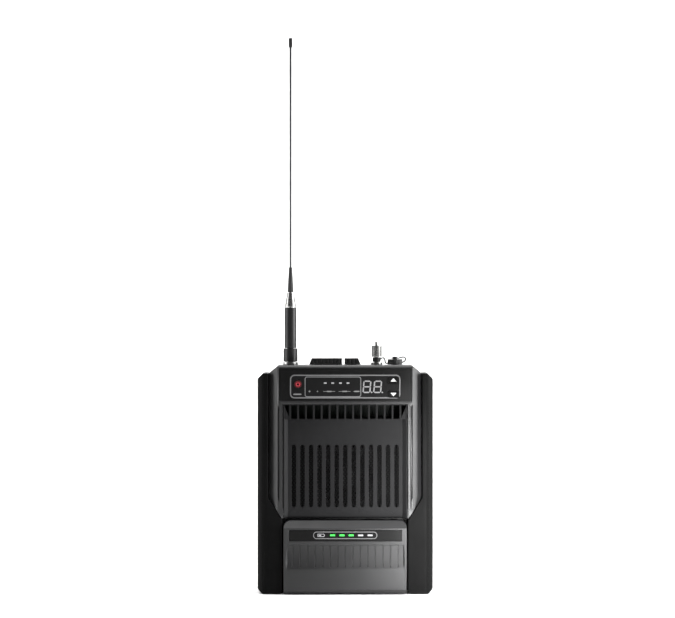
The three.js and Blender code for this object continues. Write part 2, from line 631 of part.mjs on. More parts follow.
function addTop() {
  add(repeater, "top_panel", topPanel(), material.cast);
  add(repeater, "antenna_jack", antennaJack(), material.nickel, ANTENNA.x, SOCKET_Y);
  add(repeater, "rf_jack", rfJack(), material.nickel, RF_JACK_X, SOCKET_Y);
  add(repeater, "rf_jack_insulator", rfJackInsulator(), material.insulator, RF_JACK_X, SOCKET_Y);
  add(repeater, "dust_cap", dustCap(), material.rubber, CAP_X, SOCKET_Y);
  add(repeater, "cap_strap", capStrap(), material.rubber);
  add(repeater, "accessory_socket", portSocket(COVERS.wide), material.blackPlastic);
  add(repeater, "network_socket", portSocket(COVERS.narrow), material.blackPlastic);
  add(repeater, "wide_port_cover", portCover(COVERS.wide), material.rubber);
  add(repeater, "narrow_port_cover", portCover(COVERS.narrow), material.rubber);
  add(repeater, "wide_cover_pin", coverPin(COVERS.wide), material.steel);
  add(repeater, "narrow_cover_pin", coverPin(COVERS.narrow), material.steel);
}

function addAntenna() {
  const antenna = new THREE.Group();
  antenna.position.set(ANTENNA.x, SOCKET_Y, 0);
  add(antenna, "antenna_nut", antennaNut(), material.blackPlastic);
  add(antenna, "antenna_sleeve", antennaSleeve(), material.blackPlastic);
  add(antenna, "antenna_ferrule", antennaFerrule(), material.nickel);
  add(antenna, "antenna_boot", antennaBoot(), material.rubber);
  add(antenna, "antenna_whip", antennaWhip(), material.steel);
  add(antenna, "antenna_tip", antennaTip(), material.rubber, 0, 0, ANTENNA.top);
  repeater.add(antenna);
}

function addBattery() {
  const battery = new THREE.Group();
  add(battery, "battery_shell", batteryShell(), material.housing);
  add(battery, "battery_back", batteryBack(), material.blackPlastic);
  const gauge = box(-GAUGE.half, GAUGE.half, -31.8, -31.2, GAUGE.low, GAUGE.high);
  add(battery, "gauge_window", gauge, material.lens);
  add(battery, "battery_board", box(-40, 40, -24, -10, 69.6, 71), material.board);
  add(battery, "battery_latch", batteryLatch(), material.button);
  centred(CELL.count, CELL.pitch).forEach((x, i) => {
    const cell = barZ(CELL.radius, 0, CELL.length, 0, 0, 20);
    add(battery, `battery_cell_${i + 1}`, cell, material.cell, x, CELL.y, CELL.low);
  });
  repeater.add(battery);
}

addCase();
addControls();
addInsides();
addTop();
addAntenna();
addBattery();

export default repeater;
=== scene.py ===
import json
import math

import bmesh
import bpy
from mathutils import Matrix, Vector


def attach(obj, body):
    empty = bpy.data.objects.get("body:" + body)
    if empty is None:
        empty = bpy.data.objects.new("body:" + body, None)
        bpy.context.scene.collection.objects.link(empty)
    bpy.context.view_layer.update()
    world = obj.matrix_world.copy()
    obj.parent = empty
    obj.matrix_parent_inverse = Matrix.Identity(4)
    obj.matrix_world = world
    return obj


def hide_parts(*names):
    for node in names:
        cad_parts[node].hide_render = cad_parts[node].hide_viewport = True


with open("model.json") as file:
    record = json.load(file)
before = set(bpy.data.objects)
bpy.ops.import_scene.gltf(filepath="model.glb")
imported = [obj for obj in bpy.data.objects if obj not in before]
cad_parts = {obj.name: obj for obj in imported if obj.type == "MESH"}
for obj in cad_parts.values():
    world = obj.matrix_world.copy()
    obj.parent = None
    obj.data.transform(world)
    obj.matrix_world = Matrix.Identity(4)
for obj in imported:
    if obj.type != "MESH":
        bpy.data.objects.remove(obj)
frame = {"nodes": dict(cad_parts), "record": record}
NODES = frame["nodes"]
BODY_OF = {
    node: body
    for body, members in frame["record"]["behaviour"]["bodies"].items()
    for node in members
}
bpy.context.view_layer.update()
METRES = 0.001  # shapes below are written in millimetres

# ---------------------------------------------------------------- camera, stage and light
FOCAL_LENGTH = 150.0
SENSOR_WIDTH = 36.0
CAMERA_AT = (-0.0077, -2.8395, 0.2854)


def add_camera():
    data = bpy.data.cameras.new("camera")
    data.lens = FOCAL_LENGTH
    data.sensor_width = SENSOR_WIDTH
    camera = bpy.data.objects.new("camera", data)
    camera.location = CAMERA_AT
    camera.rotation_euler = (math.radians(90), 0, 0)
    bpy.context.scene.collection.objects.link(camera)
    bpy.context.scene.camera = camera


def add_light(name, at, aim, size, power, spread=180):
    data = bpy.data.lights.new(name, "AREA")
    data.shape = "RECTANGLE"
    data.size, data.size_y = size
    data.energy = power
    data.spread = math.radians(spread)
    light = bpy.data.objects.new(name, data)
    light.visible_camera = False
    light.location = at
    light.rotation_euler = (Vector(aim) - Vector(at)).to_track_quat("-Z", "Y").to_euler()
    bpy.context.scene.collection.objects.link(light)


def add_stage():
    """A white floor that rises into a wall behind the object."""
    reach, behind, bend, rise, steps = 6.0, 3.6, 0.9, 5.0, 12
    profile = [(-reach, 0.0), (behind - bend, 0.0)]
    for i in range(1, steps + 1):
        turn = math.radians(90 * i / steps)
        profile.append((behind - bend + bend * math.sin(turn), bend - bend * math.cos(turn)))
    profile.append((behind, rise))
    bm = bmesh.new()
    rows = [[bm.verts.new((x, y, z)) for y, z in profile] for x in (-reach, reach)]
    for i in range(len(profile) - 1):
        bm.faces.new((rows[0][i], rows[1][i], rows[1][i + 1], rows[0][i + 1]))
    mesh = bpy.data.meshes.new("studio_floor")
    bm.to_mesh(mesh)
    bm.free()
    mesh.shade_smooth()
    floor = bpy.data.objects.new("studio_floor", mesh)
    floor.data.materials.append(moulded("studio_paper", (0.93, 0.93, 0.93), 0.9, bump=0.0))
    bpy.context.scene.collection.objects.link(floor)


def add_world():
    """An even white light from all round."""
    world = bpy.data.worlds.new("studio")
    bpy.context.scene.world = world
    world.use_nodes = True
    background = world.node_tree.nodes["Background"]
    background.inputs["Color"].default_value = (1, 1, 1, 1)
    background.inputs["Strength"].default_value = 0.10


# ---------------------------------------------------------------- materials
# The last size is the width of the paler edges, a painted edge highlight mixed with wear.
PATCH, SMUDGE, SCUFF, EDGE_WEAR_AND_HIGHLIGHT = 0.035, 0.018, 0.004, 0.0006  # sizes of a surface's unevenness, in metres


class Graph:
    """A material's nodes, with short ways to add and join them."""

    def __init__(self, name):
        self.material = bpy.data.materials.new(name)
        self.material.use_nodes = True
        self.tree = self.material.node_tree
        self.shader = self.tree.nodes["Principled BSDF"]

    def node(self, kind, **settings):
        made = self.tree.nodes.new(kind)
        for key, value in settings.items():
            if key in made.inputs:
                made.inputs[key].default_value = value
            else:
                setattr(made, key, value)
        return made

    def join(self, output, target):
        self.tree.links.new(output, target)

    def noise(self, size, detail=3.0, roughness=0.55, offset=0.0):
        """Noise whose features are about this size, in metres."""
        place = self.node("ShaderNodeTexCoord").outputs["Object"]
        if offset:
            move = self.node("ShaderNodeMapping")
            move.inputs["Location"].default_value = (offset, offset, offset)
            self.join(place, move.inputs["Vector"])
            place = move.outputs["Vector"]
        texture = self.node("ShaderNodeTexNoise", Scale=1.0 / size, Detail=detail, Roughness=roughness)
        self.join(place, texture.inputs["Vector"])
        return texture.outputs["Fac"]

    def spread(self, value, low, high, start=0.3, end=0.7):
        """A value from start to end becomes one from low to high."""
        ranged = self.node("ShaderNodeMapRange")
        for key, number in (("From Min", start), ("From Max", end), ("To Min", low), ("To Max", high)):
            ranged.inputs[key].default_value = number
        self.join(value, ranged.inputs["Value"])
        return ranged.outputs["Result"]

    def blend(self, factor, first, second):
        """Two colours or colour outputs mixed by a factor."""
        mix = self.node("ShaderNodeMix", data_type="RGBA")
        self.join(factor, mix.inputs["Factor"])
        colours = [socket for socket in mix.inputs if socket.type == "RGBA"]
        for socket, value in zip(colours, (first, second)):
            if isinstance(value, tuple):
                socket.default_value = (*value, 1)
            else:
                self.join(value, socket)
        return [socket for socket in mix.outputs if socket.type == "RGBA"][0]

    def edges(self, radius):
        """1 on edges that are sharper than this radius, and 0 on flat faces."""
        rounding = self.node("ShaderNodeBevel", samples=6, Radius=radius)
        shape = self.node("ShaderNodeNewGeometry")
        compare = self.node("ShaderNodeVectorMath", operation="DOT_PRODUCT")
        self.join(rounding.outputs["Normal"], compare.inputs[0])
        self.join(shape.outputs["Normal"], compare.inputs[1])
        return self.spread(compare.outputs["Value"], 1.0, 0.0, 0.82, 0.99)


def shade(colour, factor):
    return tuple(min(1.0, channel * factor) for channel in colour)


def moulded(name, colour, roughness, grain=0.0005, bump=0.15, mottle=0.12, edge_wear_and_highlight=0.0, specular=0.5):
    """Plastic, rubber or painted metal: a fine grain, an uneven colour and gloss, and paler edges that are
    partly a painted edge highlight and partly rubbing wear.
    """
    graph = Graph(name)
    shader = graph.shader
    shader.inputs["Specular IOR Level"].default_value = specular
    patches = graph.noise(PATCH, 4.0)
    tone = graph.blend(graph.spread(patches, 0.0, 1.0), shade(colour, 1 - mottle), shade(colour, 1 + mottle))
    # Paler edges: a painted edge highlight, broken up by scuff noise like rubbing wear.
    if edge_wear_and_highlight:
        scuffs = graph.spread(graph.noise(SCUFF, 4.0, 0.6, 3.0), 0.2, 1.0)
        worn_and_lit_edges = graph.node("ShaderNodeMath", operation="MULTIPLY")
        graph.join(graph.edges(EDGE_WEAR_AND_HIGHLIGHT), worn_and_lit_edges.inputs[0])
        graph.join(scuffs, worn_and_lit_edges.inputs[1])
        amount = graph.node("ShaderNodeMath", operation="MULTIPLY")
        graph.join(worn_and_lit_edges.outputs[0], amount.inputs[0])
        amount.inputs[1].default_value = edge_wear_and_highlight
        tone = graph.blend(amount.outputs[0], tone, shade(colour, 3.0))
    graph.join(tone, shader.inputs["Base Color"])
    smudges = graph.noise(SMUDGE, 5.0, 0.6, 7.0)
    graph.join(graph.spread(smudges, roughness * 0.9, roughness * 1.1), shader.inputs["Roughness"])
    if bump:
        relief = graph.node("ShaderNodeBump", Strength=bump, Distance=grain * 0.3)
        graph.join(graph.noise(grain, 2.0), relief.inputs["Height"])
        graph.join(relief.outputs["Normal"], shader.inputs["Normal"])
    return graph.material


def metal(name, colour, roughness):
    """Bare or plated metal with fine uneven polish."""
    graph = Graph(name)
    shader = graph.shader
    shader.inputs["Metallic"].default_value = 1.0
    tone = graph.blend(graph.spread(graph.noise(0.006, 4.0), 0.0, 1.0), shade(colour, 0.88), colour)
    graph.join(tone, shader.inputs["Base Color"])
    polish = graph.noise(0.0012, 5.0, 0.7, 2.0)
    graph.join(graph.spread(polish, roughness * 0.7, roughness * 1.3), shader.inputs["Roughness"])
    relief = graph.node("ShaderNodeBump", Strength=0.08, Distance=0.00005)
    graph.join(graph.noise(0.0003, 3.0), relief.inputs["Height"])
    graph.join(relief.outputs["Normal"], shader.inputs["Normal"])
    return graph.material


def glowing(name, colour, strength):
    """A lit plastic window of a slightly uneven colour."""
    graph = Graph(name)
    shader = graph.shader
    shader.inputs["Roughness"].default_value = 0.35
    tone = graph.blend(graph.spread(graph.noise(0.002, 2.0), 0.0, 1.0), shade(colour, 0.85), colour)
    graph.join(tone, shader.inputs["Base Color"])
    graph.join(tone, shader.inputs["Emission Color"])
    shader.inputs["Emission Strength"].default_value = strength
    return graph.material


def board_in_painted_shade(name):
    """Fine tracks on a near-black board: the black is painted shade, so that the inside reads dark through
    the vent.
    """
    graph = Graph(name)
    graph.shader.inputs["Specular IOR Level"].default_value = 0.1
    place = graph.node("ShaderNodeTexCoord").outputs["Object"]
    tracks = graph.node("ShaderNodeTexBrick", Scale=220.0)
    tracks.inputs["Color1"].default_value = (0.003, 0.005, 0.004, 1)
    tracks.inputs["Color2"].default_value = (0.004, 0.006, 0.005, 1)
    tracks.inputs["Mortar"].default_value = (0.008, 0.010, 0.009, 1)
    graph.join(place, tracks.inputs["Vector"])
    graph.join(tracks.outputs["Color"], graph.shader.inputs["Base Color"])
    graph.join(graph.spread(graph.noise(0.01), 0.35, 0.5), graph.shader.inputs["Roughness"])
    return graph.material


# ---------------------------------------------------------------- pieces
SHARP = 32  # faces that meet at a larger angle than this keep a sharp edge
TINY = 1e-6  # a smaller radius or length counts as none


def piece(name, bm, look, node=None, body=None):
    """A finished piece from a bmesh in millimetres. It stands for a CAD node, or only rides on its body."""
    bmesh.ops.recalc_face_normals(bm, faces=bm.faces)
    mesh = bpy.data.meshes.new(name)
    bm.to_mesh(mesh)
    bm.free()
    mesh.transform(Matrix.Scale(METRES, 4))
    mesh.shade_smooth()
    mesh.set_sharp_from_angle(angle=math.radians(SHARP))
    mesh.materials.append(look)
    made = bpy.data.objects.new(name, mesh)
    bpy.context.scene.collection.objects.link(made)
    flat = made.modifiers.new("flat_faces", "WEIGHTED_NORMAL")
    flat.keep_sharp = True
    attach(made, body or BODY_OF[node])
    if node:
        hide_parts(node)
    return made


def cad_shape(node, whole=True):
    """A CAD node's own shape as a bmesh in millimetres, with its flat faces whole or still in triangles."""
    bm = bmesh.new()
    bm.from_mesh(NODES[node].data)
    bmesh.ops.scale(bm, vec=(1 / METRES,) * 3, verts=bm.verts)
    bmesh.ops.remove_doubles(bm, verts=bm.verts, dist=0.03)
    if whole:
        bmesh.ops.dissolve_limit(bm, angle_limit=math.radians(0.8), verts=bm.verts, edges=bm.edges)
    return bm


def ease_edges(bm, width, segments=2, angle=28, wanted=None):
    """Rounds every edge that is sharper than an angle."""
    limit = math.radians(angle)
    sharp = [
        edge
        for edge in bm.edges
        if edge.is_manifold and edge.calc_face_angle() > limit and (wanted is None or wanted(edge))
    ]
    bmesh.ops.bevel(
        bm, geom=sharp, offset=width, offset_type="OFFSET", segments=segments, profile=0.5,
        affect="EDGES", clamp_overlap=False, loop_slide=True,
    )


def refine(node, look, width, whole=True):
    """A CAD node's shape with rounded edges, in its place."""
    bm = cad_shape(node, whole)
    ease_edges(bm, width)
    return piece(node + "_finish", bm, look, node=node)


def combine(first, second, operation):
    """Two bmeshes joined or cut as solids."""
    objects = []
    for bm in (first, second):
        mesh = bpy.data.meshes.new("solid")
        bm.to_mesh(mesh)
        bm.free()
        objects.append(bpy.data.objects.new("solid", mesh))
        bpy.context.scene.collection.objects.link(objects[-1])
    step = objects[0].modifiers.new("step", "BOOLEAN")
    step.operation = operation
    step.solver = "MANIFOLD"
    step.object = objects[1]
    graph = bpy.context.evaluated_depsgraph_get()
    made = bmesh.new()
    made.from_mesh(objects[0].evaluated_get(graph).to_mesh())
    for one in objects:
        mesh = one.data
        bpy.data.objects.remove(one)
        bpy.data.meshes.remove(mesh)
    return made


def prism(outline, start, end, axis):
    """A solid from an outline: (x, z) points along Y, (x, y) points along Z, or (y, z) points along X."""
    place = {
        "Y": lambda a, b, c: (a, c, b),
        "Z": lambda a, b, c: (a, b, c),
        "X": lambda a, b, c: (c, a, b),
    }[axis]
    bm = bmesh.new()
    low = [bm.verts.new(place(a, b, start)) for a, b in outline]
    high = [bm.verts.new(place(a, b, end)) for a, b in outline]
    bm.faces.new(low)
    bm.faces.new(list(reversed(high)))
    for i in range(len(outline)):
        j = (i + 1) % len(outline)
        bm.faces.new((low[i], high[i], high[j], low[j]))
    bmesh.ops.recalc_face_normals(bm, faces=bm.faces)
    return bm


def arc(cx, cy, radius, start, end, steps):
    """Points on an arc between two angles in degrees."""
    turn = [math.radians(start + (end - start) * i / steps) for i in range(steps + 1)]
    return [(cx + radius * math.cos(t), cy + radius * math.sin(t)) for t in turn]


def rounded(left, right, low, high, radius, steps=8):
    """A rectangle with round corners."""
    corners = ((right, low, -90), (right, high, 0), (left, high, 90), (left, low, 180))
    points = []
    for x, z, start in corners:
        cx = x - radius if x == right else x + radius
        cz = z - radius if z == high else z + radius
        points += arc(cx, cz, radius, start, start + 90, steps)
    return points


def soften(profile, reach):
    """A closed profile with each sharp corner turned into a small curve. Corners on the axis stay."""
    points = []
    count = len(profile)
    for i in range(count):
        here, before, after = (Vector(profile[k % count]) for k in (i, i - 1, i + 1))
        back, on = before - here, after - here
        size = min(reach, back.length * 0.4, on.length * 0.4)
        straight = min(back.length, on.length) < TINY or back.normalized().dot(on.normalized()) < -0.99
        if here.x < TINY or straight:
            points.append(tuple(here))
            continue
        start, end = here + back.normalized() * size, here + on.normalized() * size
        points += [tuple(start), tuple((start + end) * 0.25 + here * 0.5), tuple(end)]
    return points


def lathe(profile, at, steps=72, ridge=None, reach=0.25):
    """A closed profile of (radius, height) points turned about Z.

    ridge(angle, radius, height) gives a change of radius.
    """
    x, y = at
    bm = bmesh.new()
    rings = []
    for radius, height in soften(profile, reach):
        if radius < TINY:
            rings.append([bm.verts.new((x, y, height))])
            continue
        ring = []
        for i in range(steps):
            angle = 2 * math.pi * i / steps
            out = radius + (ridge(angle, radius, height) if ridge else 0)
            ring.append(bm.verts.new((x + out * math.cos(angle), y + out * math.sin(angle), height)))
        rings.append(ring)
    for level, lower in enumerate(rings):
        upper = rings[(level + 1) % len(rings)]
        if len(lower) == len(upper) == 1:
            continue
        for i in range(steps):
            j = (i + 1) % steps
            below = [lower[k % len(lower)] for k in (i, j)]
            above = [upper[k % len(upper)] for k in (j, i)]
            bm.faces.new(list(dict.fromkeys(below + above)))
    return bm


def turned(node, look, profile, at, **options):
    """A turned piece in place of a CAD node."""
    return piece(node + "_finish", lathe(profile, at, **options), look, node=node)


def merge(*shapes):
    """Several bmeshes as one, side by side."""
    whole = bmesh.new()
    for bm in shapes:
        mesh = bpy.data.meshes.new("part")
        bm.to_mesh(mesh)
        bm.free()
        whole.from_mesh(mesh)
        bpy.data.meshes.remove(mesh)
    return whole


def disc(x, z, radius, front, back, steps):
    return prism(arc(x, z, radius, 0, 360 - 360 / steps, steps - 1), front, back, "Y")


def band(outer, inner, front, back):
    """A flat ring between two outlines with as many points each."""
    bm = bmesh.new()
    loops = [[bm.verts.new((x, y, z)) for x, z in line] for line in (outer, inner) for y in (front, back)]
    outer_front, outer_back, inner_front, inner_back = loops
    count = len(outer)
    for i in range(count):
        j = (i + 1) % count
        bm.faces.new((outer_front[i], outer_front[j], inner_front[j], inner_front[i]))
        bm.faces.new((outer_back[j], outer_back[i], inner_back[i], inner_back[j]))
        bm.faces.new((outer_front[j], outer_front[i], outer_back[i], outer_back[j]))
        bm.faces.new((inner_front[i], inner_front[j], inner_back[j], inner_back[i]))
    return bm


# ---------------------------------------------------------------- looks
INK = {"grain": 0.0003, "bump": 0.05}

HOUSING = moulded("housing_plastic", (0.011, 0.011, 0.0115), 0.42, grain=0.0006, edge_wear_and_highlight=0.12)
GRILLE = moulded("grille_plastic", (0.010, 0.010, 0.0105), 0.5, grain=0.0006, edge_wear_and_highlight=0.10, specular=0.10)
# The screens are much darker than the grille: painted shade for the recessed slots.
SCREEN_IN_PAINTED_SHADE = moulded("screen_painted_shade", (0.002, 0.002, 0.0021), 0.5, grain=0.0006, specular=0.05)
CAST = moulded("powder_coat", (0.024, 0.024, 0.026), 0.5, grain=0.0004, bump=0.3, edge_wear_and_highlight=0.2)
RUBBER = moulded("guard_rubber", (0.004, 0.004, 0.004), 0.5, grain=0.0008, bump=0.2, specular=0.04)
SOFT_RUBBER = moulded("soft_rubber", (0.012, 0.012, 0.012), 0.6, grain=0.0005, bump=0.2)
FASCIA = moulded("fascia_plastic", (0.003, 0.003, 0.003), 0.32, grain=0.0004, bump=0.08, specular=0.22)
LENS = moulded("smoked_lens", (0.007, 0.007, 0.0072), 0.3, bump=0.0, mottle=0.05, specular=0.15)
GAUGE_LENS = moulded("gauge_lens", (0.003, 0.003, 0.003), 0.36, bump=0.0, mottle=0.05, specular=0.15)
BLACK = moulded("black_plastic", (0.006, 0.006, 0.0062), 0.4, grain=0.0004, bump=0.1, specular=0.35)
BUTTON = moulded("button_plastic", (0.003, 0.003, 0.003), 0.5, grain=0.0004, bump=0.1, specular=0.08)
NICKEL = metal("bright_nickel", (0.36, 0.36, 0.355), 0.3)
STEEL = metal("plain_steel", (0.50, 0.50, 0.51), 0.32)
DARK_STEEL = metal("whip_steel", (0.10, 0.10, 0.105), 0.38)
# The shields inside are near-black and dull: painted shade, so that the inside reads dark through the vent.
SHIELD_IN_PAINTED_SHADE = moulded("shield_painted_shade", (0.006, 0.006, 0.006), 0.6, grain=0.0005, specular=0.1)
WHITE_PLASTIC = moulded("insulator_plastic", (0.62, 0.62, 0.60), 0.45)
BOARD_IN_PAINTED_SHADE = board_in_painted_shade("board_painted_shade")
CELL = moulded("cell_sleeve", (0.03, 0.14, 0.32), 0.35)
INK_GREY = moulded("grey_ink", (0.14, 0.14, 0.142), 0.5, **INK)
INK_DIM = moulded("dim_ink", (0.17, 0.17, 0.17), 0.5, **INK)
INK_WHITE = moulded("white_ink", (0.60, 0.60, 0.60), 0.5, **INK)
DIGITS = glowing("digit_light", (0.26, 0.26, 0.265), 0.1)
RED = glowing("red_light", (0.55, 0.05, 0.07), 0.3)
RED_DIM = glowing("dim_red_light", (0.10, 0.012, 0.014), 0.2)
GREEN = glowing("green_light", (0.05, 0.60, 0.08), 0.5)
WHITE_LIGHT = glowing("white_light", (0.34, 0.34, 0.35), 0.15)

PLAIN_LOOKS = {
    "case_gasket": SOFT_RUBBER, "digit_display": BLACK, "power_switch": STEEL, "button_mat": SOFT_RUBBER,
    "control_board": BOARD_IN_PAINTED_SHADE, "fan_frame": BLACK, "fan_rotor": BLACK, "main_board": BOARD_IN_PAINTED_SHADE,
    "amplifier_shield": SHIELD_IN_PAINTED_SHADE, "duplex_filter": SHIELD_IN_PAINTED_SHADE, "battery_terminal": BLACK, "battery_board": BOARD_IN_PAINTED_SHADE,
    "wide_cover_pin": STEEL, "narrow_cover_pin": STEEL,
    **{f"battery_cell_{i}": CELL for i in range(1, 7)},
    **{f"status_light_{i}": WHITE_PLASTIC for i in range(1, 5)},
    **{f"case_screw_{i}": STEEL for i in range(1, 7)},
}
for node_name, look in PLAIN_LOOKS.items():
    NODES[node_name].data.materials.clear()
    NODES[node_name].data.materials.append(look)

# ---------------------------------------------------------------- case
GUARD = {
    "half": 88, "inner": 60, "front": -26, "back": 29, "corner": 9, "top": 221, "bevel": 5.5,
    "sole": 1.6, "tread": (67, 83), "lift": 5, "foot_edge": 62.3, "round": 0.9,
}
SEAT = {"half": 77.1, "foot_half": 62.7, "foot_top": 73.9, "shoulder": 96.9, "clear": 240}  # for the case
SLOT = {"count": 13, "pitch": 8.57, "half": 2.15, "low": 87.05, "high": 149.55, "corner": 2.1}
HOLE = {"radius": 0.95, "low": 88.0, "rows": 29, "step": 2.145, "aside": 1.5, "sides": 12}
BEND = {"rows": (78.5, 80.5, 82.5, 84.5), "height": 8.1, "depth": 1.3, "front": -22.5}
SLIT = {"inner": 64, "outer": 69.5, "front": -24, "low": 80, "high": 192}


def side_guard(side):
    """A rubber guard: rounded plan, bevelled ends, and a wide foot beside the battery."""
    half, inner, corner, top, bevel = (GUARD[key] for key in ("half", "inner", "corner", "top", "bevel"))
    front, back, sole, lift = (GUARD[key] for key in ("front", "back", "sole", "lift"))
    seat, foot, foot_top, shoulder, clear = SEAT.values()
    plan = [(inner, front)] + arc(half - corner, front + corner, corner, -90, 0, 14)
    plan += arc(half - corner, back - corner, corner, 0, 90, 14) + [(inner, back)]
    outline = [(x, 0) for x in GUARD["tread"]]
    outline += [(half, lift), (half, top - bevel), (half - bevel, top), (inner, top), (inner, sole)]
    outline.append((GUARD["foot_edge"], sole))
    front_core = [(0, -5), (foot, -5), (foot, foot_top), (seat, shoulder), (seat, clear), (0, clear)]
    rear_core = [(0, sole), (seat, sole), (seat, clear), (0, clear)]
    shape = combine(prism(plan, 0, top, "Z"), prism(outline, -40, 40, "Y"), "INTERSECT")
    shape = combine(shape, prism(front_core, -40, -2.9, "Y"), "DIFFERENCE")
    shape = combine(shape, prism(rear_core, -3, 40, "Y"), "DIFFERENCE")
    bmesh.ops.remove_doubles(shape, verts=shape.verts, dist=0.02)
    bmesh.ops.dissolve_limit(shape, angle_limit=math.radians(0.5), verts=shape.verts, edges=shape.edges)

    def off_the_sole(edge):
        """The sole is too thin to be rounded."""
        above = any(end.co.z > sole + GUARD["round"] for end in edge.verts)
        return above or all(end.co.x > seat + 0.4 for end in edge.verts)

    ease_edges(shape, GUARD["round"], segments=3, angle=25, wanted=off_the_sole)
    if side < 0:
        bmesh.ops.scale(shape, vec=(-1, 1, 1), verts=shape.verts)
        bmesh.ops.reverse_faces(shape, faces=shape.faces)
    node = "right_side_guard" if side > 0 else "left_side_guard"
    return piece(node + "_finish", shape, RUBBER, node=node)


def vent_panel():
    """The grille: its floor bends inwards at the bottom, above the battery."""
    bm = cad_shape("vent_grille", whole=False)
    for height in BEND["rows"]:
        everything = bm.verts[:] + bm.edges[:] + bm.faces[:]
        bmesh.ops.bisect_plane(bm, geom=everything, plane_co=(0, 0, height), plane_no=(0, 0, 1))
    top = BEND["rows"][-1]
    for vert in bm.verts:
        if vert.co.z < top - 0.5 and vert.co.y < BEND["front"]:
            vert.co.y += BEND["depth"] * ((top - vert.co.z) / BEND["height"]) ** 2
    bmesh.ops.dissolve_limit(bm, angle_limit=math.radians(0.8), verts=bm.verts, edges=bm.edges)
    ease_edges(bm, 0.25)
    return piece("vent_grille_finish", bm, GRILLE, node="vent_grille")


def vent_screens():
    """The rows of small round holes that fill the grille's slots, in ones and twos by turns."""
    half, count, last, aside = SLOT["half"], SLOT["count"], HOLE["rows"] - 1, HOLE["aside"]
    plates, holes = [], []
    for column in range(count):
        centre = (column - count // 2) * SLOT["pitch"]
        plate = rounded(centre - half, centre + half, SLOT["low"], SLOT["high"], SLOT["corner"], 5)
        plates.append(prism(plate, -23.3, -22.3, "Y"))
        for row in range(HOLE["rows"]):
            height = HOLE["low"] + row * HOLE["step"]
            offsets = (0,) if row % 2 or row in (0, last) else (-aside, aside)
            holes += [disc(centre + dx, height, HOLE["radius"], -25, -20, HOLE["sides"]) for dx in offsets]
    bm = combine(merge(*plates), merge(*holes), "DIFFERENCE")
    return piece("vent_screens", bm, SCREEN_IN_PAINTED_SHADE, body="case")


def front_housing():
    """The moulded front: generous rounding along its outer facets and a fine one round every opening."""
    bm = cad_shape("front_housing", whole=False)
    facet, parting, low, brow, shortest = 70, -3.9, 76, 226.5, 0.8

    def outside(edge):
        ends = [vert.co for vert in edge.verts]
        return all(abs(end.x) > facet and end.y < parting and end.z > low or end.z > brow for end in ends)

    def beside_slit(edge):
        ends = [vert.co for vert in edge.verts]
        across = all(SLIT["inner"] < abs(end.x) < SLIT["outer"] for end in ends)
        return across and all(end.y < SLIT["front"] and SLIT["low"] < end.z < SLIT["high"] for end in ends)

    def opening(edge):
        return edge.calc_length() > shortest and not beside_slit(edge)

    ease_edges(bm, 0.6, segments=3, wanted=outside)
    ease_edges(bm, 0.15, segments=1, wanted=opening)
    return piece("front_housing_finish", bm, HOUSING, node="front_housing")


side_guard(1)
side_guard(-1)
vent_panel()
vent_screens()
front_housing()
refine("rear_chassis", CAST, 0.3, whole=False)
refine("control_fascia", FASCIA, 0.25)
refine("display_window", LENS, 0.2)
refine("top_panel", CAST, 0.2, whole=False)
refine("accessory_socket", BLACK, 0.25, whole=False)
refine("network_socket", BLACK, 0.25, whole=False)
refine("wide_port_cover", SOFT_RUBBER, 0.3)
refine("narrow_port_cover", SOFT_RUBBER, 0.3)

# ---------------------------------------------------------------- battery pack
GRIP = {"half": 58.4, "low": 24, "high": 50, "front": -28}


def battery_shell():
    """The battery's shell: round upright sides in front, and fine edges along the grip's grooves."""
    bm = cad_shape("battery_shell")
    side, shortest_side, shortest = 58, 6, 0.7

    def upright_side(edge):
        low, high = (vert.co for vert in edge.verts)
        upright = abs(low.z - high.z) > shortest_side and abs(low.x - high.x) < 0.05
        return upright and all(abs(end.x) > side and end.y < GRIP["front"] for end in (low, high))

    def groove_edge(edge):
        ends = [vert.co for vert in edge.verts]
        inside = all(abs(end.x) < GRIP["half"] and GRIP["low"] < end.z < GRIP["high"] for end in ends)
        return inside and all(end.y < GRIP["front"] for end in ends)

    ease_edges(bm, 0.8, segments=3, wanted=upright_side)
    ease_edges(bm, 0.1, segments=1, wanted=groove_edge)
    ease_edges(bm, 0.3, wanted=lambda edge: edge.calc_length() > shortest and not groove_edge(edge))
    return piece("battery_shell_finish", bm, HOUSING, node="battery_shell")


battery_shell()
refine("battery_back", BLACK, 0.2, whole=False)
refine("battery_latch", BUTTON, 0.15)
refine("gauge_window", GAUGE_LENS, 0.1)

# ---------------------------------------------------------------- antenna
ANTENNA = (-55.3, 10)

turned("antenna_jack", NICKEL, [
    (0, 220), (4.6, 220), (4.6, 229.3), (7.6, 229.3), (7.6, 231.6), (5.4, 231.6), (5.4, 240), (0, 240),
], ANTENNA)
turned("antenna_nut", BLACK, [
    (5.8, 232.2), (7.15, 232.2), (7.15, 245.5), (3.5, 245.5), (3.5, 241.8), (5.8, 241.8),
], ANTENNA, steps=160)
turned("antenna_sleeve", BLACK, [
    (0, 240.4), (3.2, 240.4), (3.2, 245.8), (6, 245.8), (6, 287), (1.4, 287), (1.4, 280), (0, 280),
], ANTENNA)
turned("antenna_ferrule", NICKEL, [
    (1.4, 287.3), (5.6, 287.3), (5.6, 288.6), (3.4, 302), (1.4, 302),
], ANTENNA)
turned("antenna_boot", SOFT_RUBBER, [
    (1.4, 302.3), (3.1, 302.3), (3, 305), (2.45, 314), (2, 322), (1.7, 327.5), (1.4, 327.5),
], ANTENNA)
turned("antenna_whip", DARK_STEEL, [(0, 280.3), (1.1, 280.3), (1.1, 554.6), (0, 554.6)], ANTENNA, steps=32)
